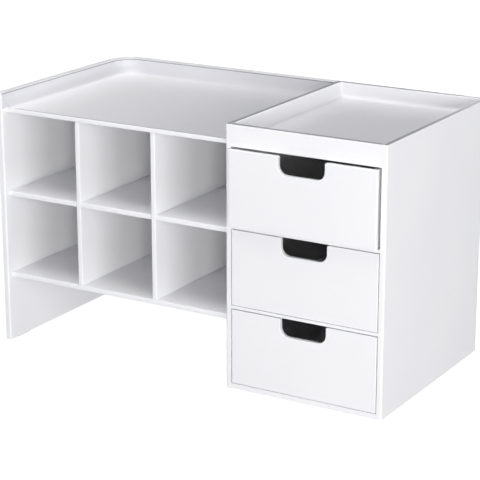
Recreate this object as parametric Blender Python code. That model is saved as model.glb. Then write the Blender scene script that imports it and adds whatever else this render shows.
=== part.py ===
"""Desk organizer: an open cubby unit with a tray on top, joined to a tower of three drawers.

Units are metres. +X is to the right, -Y is the front and +Z is up. The origin is on the surface
that the organizer stands on, midway across its width, and midway between the face of the top
drawer, which rests slightly open, and the back.
"""

import math

import bmesh
import bpy

# Overall sizes
CASE_WIDTH = 0.425
CASE_DEPTH = 0.220
CASE_HEIGHT = 0.2565
TOWER_WIDTH = 0.163

# Boards
SHELF_UNIT_WALL = 0.0065
TOWER_WALL = 0.005
TRAY_BOARD = 0.0045
SHELF_BOARD = 0.005
DIVIDER_BOARD = 0.005
RUNNER_BOARD = 0.003
BASE_BOARD = 0.005
DRAWER_FRONT_BOARD = 0.004
DRAWER_WALL_BOARD = 0.004
DRAWER_BOTTOM_BOARD = 0.003

# Places
TRAY_DEPTH = 0.016
BAY_HEIGHT = 0.0654
SHELF_RECESS = 0.0065
COLUMNS = 3
DRAWERS = 3
TOP_DRAWER_OPEN = 0.005
TOP_DRAWER_ASIDE = 0.0007

# Corners and edges
SHELF_UNIT_CORNER = 0.030
TOWER_CORNER = 0.012
FRONT_EDGE_ROUND = 0.0015
RIM_ROUND = 0.0006
BOARD_EDGE_ROUND = 0.0008
DRAWER_EDGE_ROUND = 0.0005

# Finger cut-out in a drawer front
FINGER_WIDTH = 0.0475
FINGER_DEPTH = 0.017
FINGER_CORNER = 0.0085
FINGER_LIP = 0.0015

# Clearances
GLUE_LINE = 0.0001
HALVING_GAP = 0.0003
FRONT_SIDE_GAP = 0.0012
FRONT_TOP_GAP = 0.0010
TOP_DRAWER_SLIT = 0.0018
BOX_SIDE_GAP = 0.0035
BOX_TOP_DROP = 0.0005
RUNNING_GAP = 0.0003
BEND_GAP = 0.0005
SCREW_GAP = 0.0003

# Joining screws
SCREW_LENGTH = 0.016
SCREW_RADIUS = 0.0012
SCREW_HEAD_RADIUS = 0.0024
SCREW_HEAD_DEPTH = 0.0014
SCREW_TIP = 0.002
SCREW_SINK = 0.0002
SCREW_SETBACK = 0.045
CROSS_LENGTH = 0.0026
CROSS_WIDTH = 0.0006
CROSS_DEPTH = 0.0009

# Foot pads
PAD_HEIGHT = 0.001
WALL_PAD_LENGTH = 0.024
WALL_PAD_INSET = 0.001
TOWER_PAD_SIZE = 0.014
TOWER_PAD_INSET = 0.012
PAD_CORNER = 0.0018

# Planes worked out from the sizes above
LEFT = -CASE_WIDTH / 2
RIGHT = CASE_WIDTH / 2
FRONT = (TOP_DRAWER_OPEN - CASE_DEPTH) / 2
BACK = FRONT + CASE_DEPTH
TOWER_LEFT = RIGHT - TOWER_WIDTH
TOWER_INNER_LEFT = TOWER_LEFT + TOWER_WALL
TOWER_INNER_RIGHT = RIGHT - TOWER_WALL
TOWER_INNER_BACK = BACK - TOWER_WALL
SHELF_LEFT = LEFT + SHELF_UNIT_WALL
SHELF_BACK = BACK - SHELF_UNIT_WALL
SHELF_FRONT = FRONT + SHELF_RECESS
TRAY_TOP = CASE_HEIGHT - TRAY_DEPTH
TRAY_UNDERSIDE = TRAY_TOP - TRAY_BOARD
BASE_TOP = PAD_HEIGHT + BASE_BOARD
BOTTOM_SHELF_UNDERSIDE = PAD_HEIGHT + BAY_HEIGHT
BOTTOM_SHELF_TOP = BOTTOM_SHELF_UNDERSIDE + SHELF_BOARD
CUBBY_HEIGHT = (TRAY_UNDERSIDE - BOTTOM_SHELF_TOP - SHELF_BOARD) / 2
MIDDLE_SHELF_UNDERSIDE = BOTTOM_SHELF_TOP + CUBBY_HEIGHT
MIDDLE_SHELF_TOP = MIDDLE_SHELF_UNDERSIDE + SHELF_BOARD
CUBBY_WIDTH = (TOWER_LEFT - SHELF_LEFT - (COLUMNS - 1) * DIVIDER_BOARD) / COLUMNS
HALVING_MIDDLE = (SHELF_FRONT + SHELF_BACK) / 2
DRAWER_BAY_WIDTH = TOWER_INNER_RIGHT - TOWER_INNER_LEFT
DRAWER_BAY_HEIGHT = (TRAY_UNDERSIDE - BASE_TOP - (DRAWERS - 1) * RUNNER_BOARD) / DRAWERS
DRAWER_MIDDLE_X = (TOWER_INNER_LEFT + TOWER_INNER_RIGHT) / 2

# Finishes: linear colour, roughness, metallic
WHITE_BOARD = ((0.86, 0.86, 0.87), 0.45, 0.0)
DRAWER_WHITE = ((0.87, 0.87, 0.88), 0.42, 0.0)
PAD_RUBBER = ((0.55, 0.55, 0.56), 0.85, 0.0)
SCREW_STEEL = ((0.58, 0.58, 0.60), 0.30, 1.0)


def clear_scene():
    for old in list(bpy.data.objects):
        bpy.data.objects.remove(old, do_unlink=True)


def finish_for(name, finish):
    """A Principled material of one colour, named after the piece that wears it."""
    colour, roughness, metallic = finish
    material = bpy.data.materials.new(name + "_finish")
    material.use_nodes = True
    shader = material.node_tree.nodes["Principled BSDF"]
    shader.inputs["Base Color"].default_value = (*colour, 1.0)
    shader.inputs["Roughness"].default_value = roughness
    shader.inputs["Metallic"].default_value = metallic
    material.diffuse_color = (*colour, 1.0)
    return material


def add_object(name, bm, finish=None, parent=None):
    """Turns a bmesh into a named object; with no finish it is a hidden cutter."""
    bmesh.ops.recalc_face_normals(bm, faces=bm.faces)
    mesh = bpy.data.meshes.new(name)
    bm.to_mesh(mesh)
    bm.free()
    piece = bpy.data.objects.new(name, mesh)
    bpy.context.scene.collection.objects.link(piece)
    piece.parent = parent
    if finish is None:
        piece.hide_render = True
        piece.display_type = "WIRE"
    else:
        mesh.materials.append(finish_for(name, finish))
        mesh.shade_smooth()
        mesh.set_sharp_from_angle(angle=math.radians(35))
    return piece


def arc_steps(radius):
    """More steps on a larger corner, so that each looks equally round."""
    return 4 + int(min(radius, 0.030) / 0.003)


def filleted(corners):
    """The outline through (u, v, radius) corners, each rounded by its radius."""
    outline = []
    for index, (u, v, radius) in enumerate(corners):
        if radius <= 0:
            outline.append((u, v))
            continue
        before = corners[index - 1]
        after = corners[(index + 1) % len(corners)]
        to_before = math.atan2(before[1] - v, before[0] - u)
        to_after = math.atan2(after[1] - v, after[0] - u)
        turn = math.remainder(to_after - to_before, math.tau)
        middle = to_before + turn / 2
        reach = radius / abs(math.sin(turn / 2))
        centre = (u + reach * math.cos(middle), v + reach * math.sin(middle))
        sweep = math.copysign(math.pi - abs(turn), turn)
        start = to_before - math.copysign(math.pi / 2, turn)
        steps = arc_steps(radius)
        for step in range(steps + 1):
            angle = start - sweep * step / steps
            outline.append(
                (centre[0] + radius * math.cos(angle), centre[1] + radius * math.sin(angle))
            )
    return outline


def rectangle(low_u, high_u, low_v, high_v, radius=0.0):
    corners = ((low_u, low_v), (high_u, low_v), (high_u, high_v), (low_u, high_v))
    return filleted([(u, v, radius) for u, v in corners])


def place_z(u, v, w):
    """An outline drawn in X and Y, and extruded along Z."""
    return (u, v, w)


def place_y(u, v, w):
    """An outline drawn in X and Z, and extruded along Y."""
    return (u, w, v)


def place_x(u, v, w):
    """An outline drawn in Y and Z, and extruded along X."""
    return (w, u, v)


def prism(outline, low, high, place=place_z):
    """A closed bmesh: the outline extruded from low to high."""
    bm = bmesh.new()
    first = [bm.verts.new(place(u, v, low)) for u, v in outline]
    last = [bm.verts.new(place(u, v, high)) for u, v in outline]
    bm.faces.new(first)
    bm.faces.new(last)
    for index in range(len(outline)):
        after = (index + 1) % len(outline)
        bm.faces.new((first[index], first[after], last[after], last[index]))
    bmesh.ops.recalc_face_normals(bm, faces=bm.faces)
    return bm


def turned(profile, centre, steps=16):
    """A closed bmesh: the (x, radius) profile turned about a line along X; radius 0 ends it."""
    bm = bmesh.new()
    rings = []
    for along, radius in profile:
        if radius == 0:
            rings.append([bm.verts.new((along, centre[0], centre[1]))])
            continue
        ring = []
        for step in range(steps):
            angle = math.tau * step / steps
            across = (centre[0] + radius * math.cos(angle), centre[1] + radius * math.sin(angle))
            ring.append(bm.verts.new((along, *across)))
        rings.append(ring)
    for one, other in zip(rings, rings[1:]):
        for step in range(steps):
            after = (step + 1) % steps
            corners = {
                one[step % len(one)]: None,
                one[after % len(one)]: None,
                other[after % len(other)]: None,
                other[step % len(other)]: None,
            }
            bm.faces.new(list(corners))
    return bm


def on_plane(edge, axis, value):
    return all(abs(vertex.co[axis] - value) < 1e-6 for vertex in edge.verts)


def soften(bm, radius, wanted, segments=2):
    """Rounds the edges for which wanted(edge) is true."""
    edges = [edge for edge in bm.edges if wanted(edge)]
    bmesh.ops.bevel(
        bm, geom=edges, offset=radius, segments=segments, profile=0.5, affect="EDGES"
    )


def cut(piece, cutter):
    modifier = piece.modifiers.new("cut_" + cutter.name, "BOOLEAN")
    modifier.operation = "DIFFERENCE"
    modifier.solver = "EXACT"
    modifier.object = cutter


# ---------------------------------------------------------------- cubby unit


def left_and_back_wall():
    """One board bent round the back left corner, from the front edge to the tower."""
    end = TOWER_LEFT - GLUE_LINE
    corners = [
        (LEFT, FRONT, FRONT_EDGE_ROUND),
        (SHELF_LEFT, FRONT, FRONT_EDGE_ROUND),
        (SHELF_LEFT, SHELF_BACK, SHELF_UNIT_CORNER - SHELF_UNIT_WALL),
        (end, SHELF_BACK, 0),
        (end, BACK, 0),
        (LEFT, BACK, SHELF_UNIT_CORNER),
    ]
    bm = prism(filleted(corners), PAD_HEIGHT, CASE_HEIGHT)
    soften(
        bm,
        RIM_ROUND,
        lambda edge: on_plane(edge, 2, CASE_HEIGHT) and not on_plane(edge, 0, end),
    )
    return add_object("left_and_back_wall", bm, WHITE_BOARD)


def divider_faces(index):
    """The left and right face of the divider to the right of column number index."""
    low = SHELF_LEFT + index * CUBBY_WIDTH + (index - 1) * DIVIDER_BOARD
    return low, low + DIVIDER_BOARD


def shelf(name, underside, thickness, slotted=False):
    """A board that fills the cubby unit; the slots let the dividers in from the front."""
    low_x = SHELF_LEFT + GLUE_LINE
    high_x = TOWER_LEFT - GLUE_LINE
    high_y = SHELF_BACK - GLUE_LINE
    corners = [(low_x, SHELF_FRONT, 0)]
    if slotted:
        for index in range(1, COLUMNS):
            low, high = divider_faces(index)
            corners += [
                (low - HALVING_GAP, SHELF_FRONT, 0),
                (low - HALVING_GAP, HALVING_MIDDLE, 0),
                (high + HALVING_GAP, HALVING_MIDDLE, 0),
                (high + HALVING_GAP, SHELF_FRONT, 0),
            ]
    corners += [
        (high_x, SHELF_FRONT, 0),
        (high_x, high_y, 0),
        (low_x, high_y, SHELF_UNIT_CORNER - SHELF_UNIT_WALL - GLUE_LINE),
    ]
    bm = prism(filleted(corners), underside, underside + thickness)
    soften(
        bm,
        BOARD_EDGE_ROUND,
        lambda edge: on_plane(edge, 1, SHELF_FRONT)
        and abs(edge.verts[0].co.x - edge.verts[1].co.x) > 1e-6,
    )
    return add_object(name, bm, WHITE_BOARD)


def divider(index):
    """An upright board whose slot, open to the back, takes the middle shelf."""
    low_x, high_x = divider_faces(index)
    low_z = BOTTOM_SHELF_TOP + GLUE_LINE
    high_z = TRAY_UNDERSIDE - GLUE_LINE
    back = SHELF_BACK - GLUE_LINE
    slot_front = HALVING_MIDDLE - HALVING_GAP
    outline = [
        (SHELF_FRONT, low_z),
        (back, low_z),
        (back, MIDDLE_SHELF_UNDERSIDE - HALVING_GAP),
        (slot_front, MIDDLE_SHELF_UNDERSIDE - HALVING_GAP),
        (slot_front, MIDDLE_SHELF_TOP + HALVING_GAP),
        (back, MIDDLE_SHELF_TOP + HALVING_GAP),
        (back, high_z),
        (SHELF_FRONT, high_z),
    ]
    bm = prism(outline, low_x, high_x, place_x)
    soften(
        bm,
        BOARD_EDGE_ROUND,
        lambda edge: on_plane(edge, 1, SHELF_FRONT)
        and abs(edge.verts[0].co.z - edge.verts[1].co.z) > 1e-6,
    )
    return add_object(f"cubby_divider_{index}", bm, WHITE_BOARD)


# --------------------------------------------------------------------- tower


def tower_left_wall():
    corners = [
        (TOWER_LEFT, FRONT, FRONT_EDGE_ROUND),
        (TOWER_INNER_LEFT, FRONT, 0),
        (TOWER_INNER_LEFT, BACK, 0),
        (TOWER_LEFT, BACK, 0),
    ]
    bm = prism(filleted(corners), PAD_HEIGHT, CASE_HEIGHT)
    soften(bm, RIM_ROUND, lambda edge: on_plane(edge, 2, CASE_HEIGHT))
    return add_object("tower_left_wall", bm, WHITE_BOARD)


def tower_right_and_back_wall():
    """One board bent round the back right corner, from the front edge to the left wall."""
    end = TOWER_INNER_LEFT + GLUE_LINE
    corners = [
        (RIGHT, FRONT, FRONT_EDGE_ROUND),
        (RIGHT, BACK, TOWER_CORNER),
        (end, BACK, 0),
        (end, TOWER_INNER_BACK, 0),
        (TOWER_INNER_RIGHT, TOWER_INNER_BACK, TOWER_CORNER - TOWER_WALL),
        (TOWER_INNER_RIGHT, FRONT, 0),
    ]
    bm = prism(filleted(corners), PAD_HEIGHT, CASE_HEIGHT)
    soften(
        bm,
        RIM_ROUND,
        lambda edge: on_plane(edge, 2, CASE_HEIGHT) and not on_plane(edge, 0, end),
    )
    return add_object("tower_right_and_back_wall", bm, WHITE_BOARD)


def tower_top_rail():
    """The band over the drawers, whose top edge is the front rim of the tower's tray."""
    outline = rectangle(FRONT, FRONT + TOWER_WALL, TRAY_UNDERSIDE, CASE_HEIGHT)
    low_x = TOWER_INNER_LEFT + GLUE_LINE
    high_x = TOWER_INNER_RIGHT - GLUE_LINE
    bm = prism(outline, low_x, high_x, place_x)
    soften(
        bm,
        RIM_ROUND,
        lambda edge: on_plane(edge, 2, CASE_HEIGHT)
        and abs(edge.verts[0].co.x - edge.verts[1].co.x) > 1e-6,
    )
    return add_object("tower_top_rail", bm, WHITE_BOARD)


def tower_board(name, front, underside, thickness):
    """A level board between the tower's walls, whose back right corner follows the bend."""
    back = TOWER_INNER_BACK - GLUE_LINE
    right = TOWER_INNER_RIGHT - GLUE_LINE
    corners = [
        (TOWER_INNER_LEFT + GLUE_LINE, front, 0),
        (right, front, 0),
        (right, back, TOWER_CORNER - TOWER_WALL - GLUE_LINE),
        (TOWER_INNER_LEFT + GLUE_LINE, back, 0),
    ]
    bm = prism(filleted(corners), underside, underside + thickness)
    return add_object(name, bm, WHITE_BOARD)


# ------------------------------------------------------------------- drawers


def drawer_front(name, top_gap, parent):
    """The inset front with its finger cut-out; its outer face lies on local Y = 0."""
    half = DRAWER_BAY_WIDTH / 2 - FRONT_SIDE_GAP
    low = RUNNING_GAP
    high = DRAWER_BAY_HEIGHT - top_gap
    finger = FINGER_WIDTH / 2
    finger_low = high - FINGER_DEPTH
    corners = [
        (-half, low, 0),
        (half, low, 0),
        (half, high, 0),
        (finger, high, FINGER_LIP),
        (finger, finger_low, FINGER_CORNER),
        (-finger, finger_low, FINGER_CORNER),
        (-finger, high, FINGER_LIP),
        (-half, high, 0),
    ]
    bm = prism(filleted(corners), 0, DRAWER_FRONT_BOARD, place_y)
    soften(bm, DRAWER_EDGE_ROUND, lambda edge: on_plane(edge, 1, 0))
    return add_object(name, bm, DRAWER_WHITE, parent)


def bend_setback():
    """How far a closed drawer's square back corner keeps from the back wall to clear its bend."""
    bend = TOWER_CORNER - TOWER_WALL
    across = max(bend - BOX_SIDE_GAP, 0)
    return bend - math.sqrt((bend - BEND_GAP) ** 2 - across**2)


def drawer(number, opened=0, aside=0, top_gap=FRONT_TOP_GAP):
    """One drawer at its rest place: four walls and a bottom, which all ride on one empty."""
    bay_floor = BASE_TOP + (DRAWERS - number) * (DRAWER_BAY_HEIGHT + RUNNER_BOARD)
    origin = bpy.data.objects.new(f"drawer_{number}_origin", None)
    origin.location = (DRAWER_MIDDLE_X - aside, FRONT - opened, bay_floor)
    bpy.context.scene.collection.objects.link(origin)

    outer = DRAWER_BAY_WIDTH / 2 - BOX_SIDE_GAP
    inner = outer - DRAWER_WALL_BOARD
    low_z = RUNNING_GAP
    high_z = DRAWER_BAY_HEIGHT - top_gap - BOX_TOP_DROP
    low_y = DRAWER_FRONT_BOARD + GLUE_LINE
    high_y = TOWER_INNER_BACK - FRONT - bend_setback()
    within = inner - GLUE_LINE
    floor_top = low_z + DRAWER_BOTTOM_BOARD

    drawer_front(f"drawer_{number}_front", top_gap, origin)
    for side, low_x, high_x in (("left", -outer, -inner), ("right", inner, outer)):
        bm = prism(rectangle(low_x, high_x, low_y, high_y), low_z, high_z)
        add_object(f"drawer_{number}_{side}_side", bm, DRAWER_WHITE, origin)
    bm = prism(rectangle(-within, within, low_y, high_y), low_z, floor_top)
    add_object(f"drawer_{number}_bottom", bm, DRAWER_WHITE, origin)
    back_outline = rectangle(-within, within, high_y - DRAWER_WALL_BOARD, high_y)
    bm = prism(back_outline, floor_top + GLUE_LINE, high_z)
    add_object(f"drawer_{number}_back", bm, DRAWER_WHITE, origin)


# ----------------------------------------------------------- screws and pads


def screw_profile(grow, head_overrun):
    """Head to tip along -X, grown all round by a clearance; the head may run past its face."""
    face = TOWER_INNER_LEFT - SCREW_SINK
    neck = face - SCREW_HEAD_DEPTH
    tip = face - SCREW_LENGTH
    profile = [(tip - grow, 0), (tip + SCREW_TIP, SCREW_RADIUS + grow)]
    profile += [(neck, SCREW_RADIUS + grow), (face, SCREW_HEAD_RADIUS + grow)]
    if head_overrun:
        profile.append((face + head_overrun, SCREW_HEAD_RADIUS + grow))
    profile.append((profile[-1][0], 0))
    return profile


def cross_outline(centre):
    """A plus sign in Y and Z, for the driver recess."""
    long, short = CROSS_LENGTH / 2, CROSS_WIDTH / 2
    quarter = [(long, short), (short, short), (short, long)]
    outline = []
    for turn in range(4):
        cosine, sine = round(math.cos(turn * math.pi / 2)), round(math.sin(turn * math.pi / 2))
        for u, v in quarter:
            outline.append((centre[0] + cosine * u - sine * v, centre[1] + sine * u + cosine * v))
    return outline


def joining_screws(wall, shelves):
    """Countersunk screws from inside the tower through its left wall into the shelf ends."""
    number = 0
    for board, middle_z in shelves:
        for at_y in (SHELF_FRONT + SCREW_SETBACK, SHELF_BACK - SCREW_SETBACK):
            number += 1
            centre = (at_y, middle_z)
            hole = add_object(f"screw_hole_{number}", turned(screw_profile(SCREW_GAP, 0.001), centre))
            cut(wall, hole)
            cut(board, hole)
            screw = add_object(
                f"joining_screw_{number}", turned(screw_profile(0, 0), centre), SCREW_STEEL
            )
            face = TOWER_INNER_LEFT - SCREW_SINK
            recess = prism(cross_outline(centre), face - CROSS_DEPTH, face + 0.001, place_x)
            cut(screw, add_object(f"screw_recess_{number}", recess))


def foot_pads():
    """Two strips under the left board and four square pads under the tower's base."""
    half_wall = SHELF_UNIT_WALL / 2 - WALL_PAD_INSET
    wall_x = LEFT + SHELF_UNIT_WALL / 2
    strip_low = FRONT + TOWER_PAD_INSET
    strip_high = BACK - SHELF_UNIT_CORNER - WALL_PAD_LENGTH
    half = TOWER_PAD_SIZE / 2
    reach = TOWER_PAD_INSET + half
    boxes = [
        (wall_x - half_wall, wall_x + half_wall, strip_low, strip_low + WALL_PAD_LENGTH),
        (wall_x - half_wall, wall_x + half_wall, strip_high, strip_high + WALL_PAD_LENGTH),
    ]
    for x in (TOWER_LEFT + reach, RIGHT - reach):
        for y in (FRONT + reach, BACK - reach):
            boxes.append((x - half, x + half, y - half, y + half))
    for number, (low_x, high_x, low_y, high_y) in enumerate(boxes, 1):
        outline = rectangle(low_x, high_x, low_y, high_y, PAD_CORNER)
        bm = prism(outline, 0, PAD_HEIGHT - GLUE_LINE)
        add_object(f"foot_pad_{number}", bm, PAD_RUBBER)


def build():
    clear_scene()
    left_and_back_wall()
    shelf("tray_shelf", TRAY_UNDERSIDE, TRAY_BOARD)
    middle_shelf = shelf("middle_shelf", MIDDLE_SHELF_UNDERSIDE, SHELF_BOARD, slotted=True)
    bottom_shelf = shelf("bottom_shelf", BOTTOM_SHELF_UNDERSIDE, SHELF_BOARD)
    for index in range(1, COLUMNS):
        divider(index)

    left_wall = tower_left_wall()
    tower_right_and_back_wall()
    tower_top_rail()
    tray_front = FRONT + TOWER_WALL + GLUE_LINE
    tower_board("tower_tray_floor", tray_front, TRAY_UNDERSIDE, TRAY_BOARD)
    tower_board("tower_base", FRONT, PAD_HEIGHT, BASE_BOARD)
    for index in range(1, DRAWERS):
        underside = BASE_TOP + (DRAWERS - index) * (DRAWER_BAY_HEIGHT + RUNNER_BOARD)
        name = f"drawer_runner_{index}"
        tower_board(name, FRONT, underside - RUNNER_BOARD, RUNNER_BOARD)

    drawer(1, TOP_DRAWER_OPEN, TOP_DRAWER_ASIDE, TOP_DRAWER_SLIT)
    for number in range(2, DRAWERS + 1):
        drawer(number)

    shelf_middles = [
        (middle_shelf, MIDDLE_SHELF_UNDERSIDE + SHELF_BOARD / 2),
        (bottom_shelf, BOTTOM_SHELF_UNDERSIDE + SHELF_BOARD / 2),
    ]
    joining_screws(left_wall, shelf_middles)
    foot_pads()


build()
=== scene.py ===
"""Looks for the desk organizer: white satin board, grey rims, coved trays and soft studio light.

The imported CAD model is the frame. Nothing in it is moved; this script gives its nodes their finish,
adds the fillets inside the two trays, and sets the floor, the light and the camera.
"""

import math

import bmesh
import bpy
from mathutils import Matrix, Vector


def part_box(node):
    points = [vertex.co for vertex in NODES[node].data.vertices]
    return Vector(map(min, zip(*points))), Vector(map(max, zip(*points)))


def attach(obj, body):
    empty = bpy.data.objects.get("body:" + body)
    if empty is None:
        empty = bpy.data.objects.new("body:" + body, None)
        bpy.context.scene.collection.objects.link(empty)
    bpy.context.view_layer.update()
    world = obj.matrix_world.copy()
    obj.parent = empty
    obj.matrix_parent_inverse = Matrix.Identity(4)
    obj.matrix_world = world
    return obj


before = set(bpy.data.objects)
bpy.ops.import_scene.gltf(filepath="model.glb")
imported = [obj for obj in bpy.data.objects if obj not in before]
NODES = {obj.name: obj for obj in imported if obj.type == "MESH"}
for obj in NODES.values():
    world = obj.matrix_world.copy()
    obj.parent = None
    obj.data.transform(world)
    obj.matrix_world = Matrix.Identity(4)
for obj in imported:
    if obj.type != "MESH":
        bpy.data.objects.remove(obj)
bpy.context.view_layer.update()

# Planes of the case, read from the frame
WALL_LOW, WALL_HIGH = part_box("left_and_back_wall")
TRAY_LOW, TRAY_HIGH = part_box("tray_shelf")
TOWER_LEFT_LOW, TOWER_LEFT_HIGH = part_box("tower_left_wall")
TOWER_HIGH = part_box("tower_right_and_back_wall")[1]
RAIL_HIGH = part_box("tower_top_rail")[1]
RIM = WALL_HIGH.z
TRAY_TOP = TRAY_HIGH.z

# Board sizes that the frame can't be asked for
SHELF_UNIT_WALL = 0.0065
SHELF_UNIT_CORNER = 0.030
TOWER_WALL = 0.005
TOWER_CORNER = 0.012

# Fillets inside the trays
LEFT_COVE = 0.010
TOWER_COVE = 0.005
CORNER_FILLET = 0.003
COVE_STEPS = 10
CORNER_STEPS = 8
BEND_STEPS = 24
MERGE_DISTANCE = 0.00002
SHARP_ANGLE = math.radians(35)

# Grey lines: their widths, how far the inner one lies under the rim's edge, and how soft they are; the
# inner line and the tray's edge line are painted shade lines
OUTER_LINE = 0.0011
INNER_SHADOW_LINE = 0.0007
INNER_SHADOW_LINE_DROP = 0.0010
TRAY_EDGE_SHADE_LINE = 0.0024
RIM_SOFTNESS = 0.0002

# How deep in the bent wall its inner face's painted shade and painted shadow line reach
INNER_FACE_DEPTH = 0.0006

# Upward part of the normal at which a face starts to count as level, and at which it fully does
NEARLY_LEVEL = 0.90
LEVEL = 0.95

# Heights on the coves where their painted shade changes, as shares of their radius
LEFT_COVE_FOOT = 0.2
LEFT_COVE_HEAD = 0.4
TOWER_COVE_FOOT = 0.05
TOWER_COVE_HEAD = 0.5

# Camera: a long lens, to the right of the front and a little above
CAMERA_AZIMUTH = 30.69
CAMERA_ELEVATION = 16.91
CAMERA_DISTANCE = 1.774
CAMERA_TARGET = Vector((0.0008, 0.0, 0.1106))
CAMERA_LENS = 134.14
SENSOR_WIDTH = 36.0

# What the softboxes face, and each one's azimuth, elevation, distance, width, height and strength
LIGHT_TARGET = Vector((0.0, 0.0, 0.12))
SOFTBOXES = {
    "fill": (31.0, 3.0, 2.6, 0.7, 0.6, 4.8),
    "key": (60.0, 10.0, 2.6, 1.3, 0.8, 3.6),
    "side_fill": (108.0, 8.0, 2.6, 1.0, 0.8, 1.2),
    "left_fill": (-35.0, 12.0, 2.6, 1.4, 1.2, 0.6),
    "overhead": (-25.0, 80.0, 1.8, 1.2, 1.2, 7.0),
    "back": (184.0, 4.0, 2.6, 1.4, 1.0, 3.6),
    "left_side": (262.0, 4.0, 2.6, 1.4, 1.0, 3.6),
}

# Even light from all round, and what the white table throws up from below
WORLD_BELOW = 0.56
WORLD_HORIZON = 0.17
WORLD_ZENITH = 0.14
WORLD_TINT = (0.96, 0.955, 1.02)

# Stage: the floor and the backdrop glow, so that they read as white paper
FLOOR_RADIUS = 12.0
FLOOR_GREY = 0.15
FLOOR_GLOW = 0.97
BACKDROP_RADIUS = 12.5
BACKDROP_GREY = 0.0
BACKDROP_GLOW = 1.15

# Board finishes: light and dark tone of the surface, in linear colour, and roughness
CASE_TONES = ((0.93, 0.93, 0.94), (0.91, 0.91, 0.923))
CASE_ROUGHNESS = 0.38
DRAWER_TONES = ((0.915, 0.915, 0.925), (0.898, 0.898, 0.91))
DRAWER_ROUGHNESS = 0.36
ROUGHNESS_SPREAD = 0.05
COAT_WEIGHT = 0.15
COAT_ROUGHNESS = 0.28
CLOUD_SCALE = 9.0
GLOSS_SCALE = 40.0
PEEL_SCALE = 420.0
PEEL_STRENGTH = 0.03
PEEL_DEPTH = 0.0003

# The part of a noise's range that is spread over the whole change of tone, and of roughness
CLOUD_RANGE = (0.35, 0.65)
ROUGHNESS_RANGE = (0.3, 0.7)

# Greys of the lines, and painted shade: the inner rim line and the tray's edge line are painted shade
# lines, and the trays' walls, coves and floors are greyed with painted shade
TOWER_RIM_GREY = (0.30, 0.30, 0.32)
OUTER_LINE_GREY = (0.20, 0.20, 0.22)
INNER_SHADOW_LINE_GREY = (0.26, 0.26, 0.28)
EDGE_SHADE_LINE_GREY = (0.36, 0.36, 0.38)
PAINTED_TRAY_WALL_SHADE = (0.71, 0.71, 0.74)
PAINTED_COVE_SHADE = (0.65, 0.65, 0.68)
LEFT_TRAY_SHADOW_GREY = (0.60, 0.60, 0.63)
TOWER_FLOOR_SHADE_GREY = (0.67, 0.67, 0.70)

# Dark and light tones of the screws' zinc and the pads' rubber
ZINC_TONES = ((0.48, 0.48, 0.50), (0.68, 0.68, 0.70))
RUBBER_TONES = ((0.30, 0.30, 0.31), (0.38, 0.38, 0.39))

# Directions in plan
RIGHTWARD = Vector((1, 0))
FORWARD = Vector((0, -1))


# ------------------------------------------------------------------ materials


class Finish:
    """A material under construction, with short calls for the nodes that every finish here uses."""

    def __init__(self, name):
        self.material = bpy.data.materials.new(name)
        self.material.use_nodes = True
        self.nodes = self.material.node_tree.nodes
        self.links = self.material.node_tree.links
        self.shader = self.nodes["Principled BSDF"]
        self.coords = self.nodes.new("ShaderNodeTexCoord").outputs["Object"]

    def noise(self, scale, detail=2.0, stretch=None):
        node = self.nodes.new("ShaderNodeTexNoise")
        node.inputs["Scale"].default_value = scale
        node.inputs["Detail"].default_value = detail
        source = self.coords
        if stretch:
            mapping = self.nodes.new("ShaderNodeMapping")
            mapping.inputs["Scale"].default_value = stretch
            self.links.new(source, mapping.inputs["Vector"])
            source = mapping.outputs["Vector"]
        self.links.new(source, node.inputs["Vector"])
        return node.outputs["Fac"]

    def ranged(self, source, from_low, from_high, to_low=0.0, to_high=1.0):
        """Maps a value from one range to another, and holds it there; a range may run downwards."""
        node = self.nodes.new("ShaderNodeMapRange")
        for socket, value in zip(node.inputs[1:5], (from_low, from_high, to_low, to_high)):
            socket.default_value = value
        self.links.new(source, node.inputs["Value"])
        return node.outputs["Result"]

    def worked_out(self, operation, first, second=None):
        """One Math node; each operand is a number or a socket."""
        node = self.nodes.new("ShaderNodeMath")
        node.operation = operation
        for socket, value in zip(node.inputs, (first, second)):
            if isinstance(value, (int, float)):
                socket.default_value = value
            elif value is not None:
                self.links.new(value, socket)
        return node.outputs["Value"]

    def both(self, first, second):
        """The part that two masks share."""
        return self.worked_out("MULTIPLY", first, second)

    def mixed(self, factor, first, second):
        node = self.nodes.new("ShaderNodeMix")
        node.data_type = "RGBA"
        self.links.new(factor, node.inputs["Factor"])
        for name, value in (("A", first), ("B", second)):
            if isinstance(value, tuple):
                node.inputs[name].default_value = (*value, 1.0)
            else:
                self.links.new(value, node.inputs[name])
        return node.outputs["Result"]

    def position(self):
        split = self.nodes.new("ShaderNodeSeparateXYZ")
        self.links.new(self.coords, split.inputs["Vector"])
        return split.outputs

    def facing_up(self):
        """1 on level faces, 0 on upright ones."""
        geometry = self.nodes.new("ShaderNodeNewGeometry")
        split = self.nodes.new("ShaderNodeSeparateXYZ")
        self.links.new(geometry.outputs["True Normal"], split.inputs["Vector"])
        return self.ranged(split.outputs["Z"], NEARLY_LEVEL, LEVEL)

    def above(self, height):
        return self.ranged(self.position()["Z"], height - RIM_SOFTNESS, height)

    def towards_tower(self):
        """Goes from 0 at the left tray's left end to 1 at the tower."""
        return self.ranged(self.position()["X"], TRAY_LOW.x, TRAY_HIGH.x)

    def bumped(self, height, strength, distance):
        bump = self.nodes.new("ShaderNodeBump")
        bump.inputs["Strength"].default_value = strength
        bump.inputs["Distance"].default_value = distance
        self.links.new(height, bump.inputs["Height"])
        self.links.new(bump.outputs["Normal"], self.shader.inputs["Normal"])

    def coloured(self, source):
        self.links.new(source, self.shader.inputs["Base Color"])

    def rough(self, low, high, scale, detail=3.0):
        fac = self.ranged(self.noise(scale, detail), *ROUGHNESS_RANGE, low, high)
        self.links.new(fac, self.shader.inputs["Roughness"])


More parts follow.
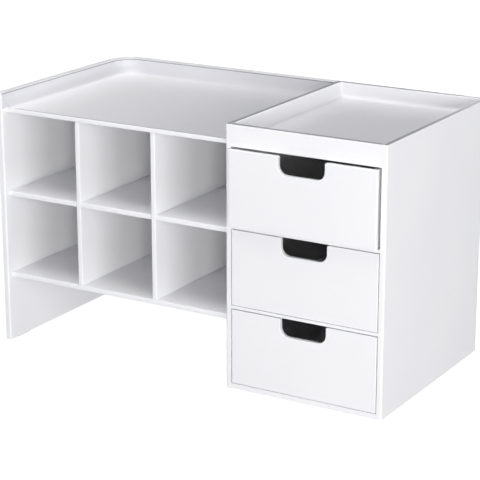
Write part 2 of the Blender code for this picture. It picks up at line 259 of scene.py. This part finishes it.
def satin_white(name, marks=None, tones=CASE_TONES, roughness=CASE_ROUGHNESS):
    """Foil-faced white board: a faint cloudy tone, a fine orange peel and a little gloss change.

    marks is a function that gives (mask, grey) pairs, for grey lines and painted shade on the board."""
    finish = Finish(name)
    light, dark = tones
    clouds = finish.ranged(finish.noise(CLOUD_SCALE, detail=3.0), *CLOUD_RANGE)
    colour = finish.mixed(clouds, dark, light)
    for mask, grey in marks(finish) if marks else ():
        colour = finish.mixed(mask, colour, grey)
    finish.coloured(colour)
    finish.rough(roughness - ROUGHNESS_SPREAD, roughness + ROUGHNESS_SPREAD, GLOSS_SCALE, detail=4.0)
    finish.bumped(finish.noise(PEEL_SCALE), PEEL_STRENGTH, PEEL_DEPTH)
    finish.shader.inputs["Coat Weight"].default_value = COAT_WEIGHT
    finish.shader.inputs["Coat Roughness"].default_value = COAT_ROUGHNESS
    return finish.material


def drawer_white():
    return satin_white("drawer_white", tones=DRAWER_TONES, roughness=DRAWER_ROUGHNESS)


def shelf_unit_rim(finish):
    """Painted shade inside the tray, a fine grey line along the rim's outer edge, and a painted shadow
    line under its inner one.

    The bent wall is sorted by its distance in from its outer face, which goes round its corner."""
    centre_x = WALL_LOW.x + SHELF_UNIT_CORNER
    centre_y = WALL_HIGH.y - SHELF_UNIT_CORNER
    place = finish.position()
    left_of = finish.worked_out("SUBTRACT", centre_x, place["X"])
    left_of = finish.worked_out("MAXIMUM", left_of, 0.0)
    behind = finish.worked_out("SUBTRACT", place["Y"], centre_y)
    behind = finish.worked_out("MAXIMUM", behind, 0.0)
    left_squared = finish.worked_out("POWER", left_of, 2.0)
    behind_squared = finish.worked_out("POWER", behind, 2.0)
    radius = finish.worked_out("SQRT", finish.worked_out("ADD", left_squared, behind_squared))
    inward = finish.worked_out("SUBTRACT", SHELF_UNIT_CORNER, radius)
    outside = finish.ranged(inward, OUTER_LINE + RIM_SOFTNESS, OUTER_LINE)
    inside = finish.worked_out("GREATER_THAN", inward, SHELF_UNIT_WALL - INNER_FACE_DEPTH)
    # painted shade on the tray's inner walls, where little light reaches
    tray_wall_shade = finish.both(finish.above(TRAY_TOP), inside)
    outer_line = finish.both(finish.above(RIM - OUTER_LINE), outside)
    # the inner line is a painted shadow line just under the rim's rounded edge
    under_edge = finish.worked_out("LESS_THAN", place["Z"], RIM - INNER_SHADOW_LINE_DROP)
    over_foot = finish.above(RIM - INNER_SHADOW_LINE_DROP - INNER_SHADOW_LINE)
    inner_shadow_line = finish.both(over_foot, finish.both(under_edge, inside))
    return (
        (tray_wall_shade, PAINTED_TRAY_WALL_SHADE),
        (outer_line, OUTER_LINE_GREY),
        (inner_shadow_line, INNER_SHADOW_LINE_GREY),
    )


def tower_rim(finish):
    """The tower's rim is grey across the flat of its top."""
    flat = finish.both(finish.above(RIM - RIM_SOFTNESS), finish.facing_up())
    return ((flat, TOWER_RIM_GREY),)


def left_tray_shade(finish):
    """Painted shadow of the tower's wall greys the tray's floor towards the tower, and a painted shade
    line runs along the tray's front edge.
    """
    line_end = TRAY_LOW.y + TRAY_EDGE_SHADE_LINE
    at_front = finish.worked_out("LESS_THAN", finish.position()["Y"], line_end)
    # a painted shade line where the rounded front edge turns into the floor
    edge_shade_line = finish.both(finish.both(at_front, finish.facing_up()), finish.above(TRAY_TOP))
    # painted shadow of the tower's wall, greying the floor towards it
    floor = finish.both(finish.towards_tower(), finish.above(TRAY_TOP))
    return ((floor, LEFT_TRAY_SHADOW_GREY), (edge_shade_line, EDGE_SHADE_LINE_GREY))


def left_cove_shade(finish):
    """Painted shade on the cove: from the tray wall's painted shade, through a darker band, down to
    the floor's painted shadow.
    """
    height = finish.position()["Z"]
    cove_shade_band = finish.ranged(height, TRAY_TOP, TRAY_TOP + LEFT_COVE_FOOT * LEFT_COVE)
    cove_wall_shade = finish.ranged(height, TRAY_TOP + LEFT_COVE_HEAD * LEFT_COVE, TRAY_TOP + LEFT_COVE)
    return (
        (finish.towards_tower(), LEFT_TRAY_SHADOW_GREY),
        (cove_shade_band, PAINTED_COVE_SHADE),
        (cove_wall_shade, PAINTED_TRAY_WALL_SHADE),
    )


def tower_tray_shade(finish):
    """Painted shade: the tower tray's level floor is greyer than its walls."""
    return ((finish.above(TRAY_TOP), TOWER_FLOOR_SHADE_GREY),)


def tower_cove_shade(finish):
    """The cove goes from the wall's white down to the floor's painted shade."""
    head = TRAY_TOP + TOWER_COVE_HEAD * TOWER_COVE
    foot = TRAY_TOP + TOWER_COVE_FOOT * TOWER_COVE
    return ((finish.ranged(finish.position()["Z"], head, foot), TOWER_FLOOR_SHADE_GREY),)


def zinc():
    """Plated steel, drawn along the screw."""
    finish = Finish("zinc_screw")
    brushed = finish.noise(500.0, detail=3.0, stretch=(1.0, 1.0, 14.0))
    finish.coloured(finish.mixed(brushed, *ZINC_TONES))
    finish.shader.inputs["Metallic"].default_value = 1.0
    finish.rough(low=0.28, high=0.45, scale=300.0)
    finish.bumped(brushed, strength=0.15, distance=0.0002)
    return finish.material


def rubber():
    """Soft grey rubber with a fine speckle."""
    finish = Finish("pad_rubber")
    speckle = finish.noise(700.0, detail=4.0)
    finish.coloured(finish.mixed(speckle, *RUBBER_TONES))
    finish.rough(low=0.75, high=0.9, scale=200.0)
    finish.bumped(speckle, strength=0.3, distance=0.0003)
    return finish.material


def shade(mesh, material):
    """Gives a mesh its finish, with smooth faces that still meet sharply at real edges."""
    mesh.materials.append(material)
    mesh.shade_smooth()
    mesh.set_sharp_from_angle(angle=SHARP_ANGLE)


def dress(names, material):
    for name in names:
        mesh = NODES[name].data
        mesh.materials.clear()
        shade(mesh, material)


def dress_nodes(tower_white):
    """Gives every CAD node its finish."""

    def starting(*starts):
        return [name for name in NODES if name.startswith(starts)]

    finishes = [
        (starting("drawer_1", "drawer_2", "drawer_3"), drawer_white()),
        (starting("joining_screw"), zinc()),
        (starting("foot_pad"), rubber()),
        (["tower_left_wall", "tower_right_and_back_wall", "tower_top_rail"], tower_white),
        (["left_and_back_wall"], satin_white("rimmed_white", shelf_unit_rim)),
        (["tray_shelf"], satin_white("tray_white", left_tray_shade)),
        (["tower_tray_floor"], satin_white("tower_tray_white", tower_tray_shade)),
    ]
    dressed = {name for names, material in finishes for name in names}
    dress([name for name in NODES if name not in dressed], satin_white("case_white"))
    for names, material in finishes:
        dress(names, material)


# ------------------------------------------------------------- tray fillets


def add_piece(name, bm, material):
    """Turns a bmesh into a piece that rides on the case and wears the finish it is given."""
    bmesh.ops.remove_doubles(bm, verts=bm.verts, dist=MERGE_DISTANCE)
    bmesh.ops.recalc_face_normals(bm, faces=bm.faces)
    mesh = bpy.data.meshes.new(name)
    bm.to_mesh(mesh)
    bm.free()
    shade(mesh, material)
    piece = bpy.data.objects.new(name, mesh)
    bpy.context.scene.collection.objects.link(piece)
    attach(piece, "case")


def around_corner(corner, inward, radius, offset, steps):
    """Points of an inside corner, set in from both walls by offset; its bend shrinks as it goes."""
    bend = max(radius - offset, 0.0)
    reach = max(radius, offset)
    start, end = inward
    centre = corner + reach * (start + end)
    return [
        centre - bend * (math.cos(turn) * start + math.sin(turn) * end)
        for turn in (math.pi / 2 * step / steps for step in range(steps + 1))
    ]


def cove_strip(name, ring, radius, material, closed):
    """A concave fillet between a floor and the walls round it.

    ring(offset) gives the walls' line at that distance in from them."""
    bm = bmesh.new()
    arc = [math.pi / 2 * step / COVE_STEPS for step in range(COVE_STEPS + 1)]
    profile = [(radius * (1 - math.cos(turn)), radius * (1 - math.sin(turn))) for turn in arc]
    profile.append((0.0, 0.0))
    rows = [
        [bm.verts.new((point.x, point.y, TRAY_TOP + height)) for point in ring(offset)]
        for offset, height in profile
    ]
    count = len(rows[0])
    for row, after in zip(rows, rows[1:] + rows[:1]):
        for index in range(count if closed else count - 1):
            following = (index + 1) % count
            bm.faces.new((row[index], row[following], after[following], after[index]))
    if not closed:
        for end in (0, -1):
            bm.faces.new([row[end] for row in rows])
    add_piece(name, bm, material)


def corner_fillet(name, corner, inward, top, material):
    """An upright concave fillet in a square inside corner of a tray."""
    bm = bmesh.new()
    bend = around_corner(corner, inward, CORNER_FILLET, offset=0.0, steps=CORNER_STEPS)
    base = [bm.verts.new((point.x, point.y, TRAY_TOP)) for point in bend + [corner]]
    face = bm.faces.new(base)
    raised = bmesh.ops.extrude_face_region(bm, geom=[face])
    tops = [item for item in raised["geom"] if isinstance(item, bmesh.types.BMVert)]
    bmesh.ops.translate(bm, verts=tops, vec=(0, 0, top - TRAY_TOP))
    add_piece(name, bm, material)


def left_tray_fillets():
    """The left tray is open at the front, so its cove runs along three walls and has two ends."""
    wall_x = WALL_LOW.x + SHELF_UNIT_WALL
    wall_y = WALL_HIGH.y - SHELF_UNIT_WALL
    tower_x = TOWER_LEFT_LOW.x
    bend = SHELF_UNIT_CORNER - SHELF_UNIT_WALL
    bend_corner = Vector((wall_x, wall_y))
    square_corner = Vector((tower_x, wall_y))
    square_inward = (FORWARD, -RIGHTWARD)

    def ring(offset):
        points = [Vector((wall_x + offset, TRAY_LOW.y))]
        points += around_corner(bend_corner, (RIGHTWARD, FORWARD), bend, offset, BEND_STEPS)
        points += around_corner(square_corner, square_inward, CORNER_FILLET, offset, CORNER_STEPS)
        return points + [Vector((tower_x - offset, TRAY_LOW.y))]

    cove_white = satin_white("cove_white", left_cove_shade)
    fillet_top = RIM - INNER_SHADOW_LINE_DROP
    cove_strip("left_tray_cove", ring, LEFT_COVE, cove_white, closed=False)
    corner_fillet("left_tray_corner_fillet", square_corner, square_inward, fillet_top, cove_white)


def tower_tray_fillets(tower_white):
    """The tower's tray has four walls; only its back right corner is bent, so it needs no fillet."""
    low_x = TOWER_LEFT_HIGH.x
    high_x = TOWER_HIGH.x - TOWER_WALL
    low_y = RAIL_HIGH.y
    high_y = TOWER_HIGH.y - TOWER_WALL
    bend = TOWER_CORNER - TOWER_WALL
    corners = [
        (Vector((low_x, low_y)), (-FORWARD, RIGHTWARD), CORNER_FILLET),
        (Vector((low_x, high_y)), (RIGHTWARD, FORWARD), CORNER_FILLET),
        (Vector((high_x, high_y)), (FORWARD, -RIGHTWARD), bend),
        (Vector((high_x, low_y)), (-RIGHTWARD, -FORWARD), CORNER_FILLET),
    ]

    def ring(offset):
        points = []
        for corner, inward, radius in corners:
            points += around_corner(corner, inward, radius, offset, CORNER_STEPS)
        return points

    cove_white = satin_white("tower_cove_white", tower_cove_shade)
    cove_strip("tower_tray_cove", ring, TOWER_COVE, cove_white, closed=True)
    for number, (corner, inward, radius) in enumerate(corners, 1):
        if radius != bend:
            corner_fillet(f"tower_tray_corner_fillet_{number}", corner, inward, RIM, tower_white)


# ------------------------------------------------------- stage, light, camera


def on_stage(name, bm, grey, glow):
    """A stage piece that the camera sees as white, and that throws no light on the object."""
    mesh = bpy.data.meshes.new(name)
    bm.to_mesh(mesh)
    bm.free()
    piece = bpy.data.objects.new(name, mesh)
    bpy.context.scene.collection.objects.link(piece)
    finish = Finish(name + "_white")
    finish.shader.inputs["Base Color"].default_value = (grey, grey, grey, 1.0)
    finish.shader.inputs["Roughness"].default_value = 0.9
    finish.shader.inputs["Specular IOR Level"].default_value = 0.0
    finish.shader.inputs["Emission Color"].default_value = (1.0, 1.0, 1.0, 1.0)
    finish.shader.inputs["Emission Strength"].default_value = glow
    mesh.materials.append(finish.material)
    piece.visible_diffuse = False
    piece.visible_glossy = False
    piece.visible_shadow = False


def make_stage():
    bm = bmesh.new()
    bmesh.ops.create_circle(bm, cap_ends=True, segments=64, radius=FLOOR_RADIUS)
    on_stage("floor", bm, FLOOR_GREY, FLOOR_GLOW)
    bm = bmesh.new()
    bmesh.ops.create_uvsphere(bm, u_segments=48, v_segments=24, radius=BACKDROP_RADIUS)
    bmesh.ops.reverse_faces(bm, faces=bm.faces)
    on_stage("backdrop", bm, BACKDROP_GREY, BACKDROP_GLOW)


def make_world():
    """Studio light that changes only with height; what comes from below is the table's bounce."""
    world = bpy.data.worlds.new("studio")
    bpy.context.scene.world = world
    world.use_nodes = True
    nodes, links = world.node_tree.nodes, world.node_tree.links
    split = nodes.new("ShaderNodeSeparateXYZ")
    links.new(nodes.new("ShaderNodeTexCoord").outputs["Generated"], split.inputs["Vector"])
    height = nodes.new("ShaderNodeMapRange")
    height.inputs["From Min"].default_value = -1.0
    links.new(split.outputs["Z"], height.inputs["Value"])
    ramp = nodes.new("ShaderNodeValToRGB")
    ramp.color_ramp.elements.new(0.5)
    brightness = (WORLD_BELOW, WORLD_HORIZON, WORLD_ZENITH)
    for element, value in zip(ramp.color_ramp.elements, brightness):
        element.color = (*(value * part for part in WORLD_TINT), 1.0)
    links.new(height.outputs["Result"], ramp.inputs["Fac"])
    links.new(ramp.outputs["Color"], nodes["Background"].inputs["Color"])


def direction(azimuth, elevation):
    """Unit vector from the object; azimuth 0 is straight in front, and +X lies at 90 degrees."""
    azimuth, elevation = math.radians(azimuth), math.radians(elevation)
    return Vector(
        (
            math.sin(azimuth) * math.cos(elevation),
            -math.cos(azimuth) * math.cos(elevation),
            math.sin(elevation),
        )
    )


def look_from(thing, target, back, distance):
    """Places a light or the camera at that distance from its target along back, and faces it there."""
    turn = (-back).to_track_quat("-Z", "Y").to_matrix().to_4x4()
    thing.matrix_world = Matrix.Translation(target + back * distance) @ turn


def softbox(name, azimuth, elevation, distance, width, height, strength):
    """A rectangular light; strength is its power over its distance squared."""
    data = bpy.data.lights.new(name, "AREA")
    data.shape = "RECTANGLE"
    data.size = width
    data.size_y = height
    data.energy = strength * distance**2
    light = bpy.data.objects.new(name, data)
    bpy.context.scene.collection.objects.link(light)
    look_from(light, LIGHT_TARGET, direction(azimuth, elevation), distance)


def make_camera():
    data = bpy.data.cameras.new("camera")
    data.sensor_width = SENSOR_WIDTH
    data.lens = CAMERA_LENS
    camera = bpy.data.objects.new("camera", data)
    bpy.context.scene.collection.objects.link(camera)
    back = direction(CAMERA_AZIMUTH, CAMERA_ELEVATION)
    look_from(camera, CAMERA_TARGET, back, CAMERA_DISTANCE)
    bpy.context.scene.camera = camera


make_camera()
tower_board_white = satin_white("tower_white", tower_rim)
dress_nodes(tower_board_white)
left_tray_fillets()
tower_tray_fillets(tower_board_white)
make_world()
make_stage()
for softbox_name, settings in SOFTBOXES.items():
    softbox(softbox_name, *settings)
bpy.context.scene.view_settings.view_transform = "Standard"
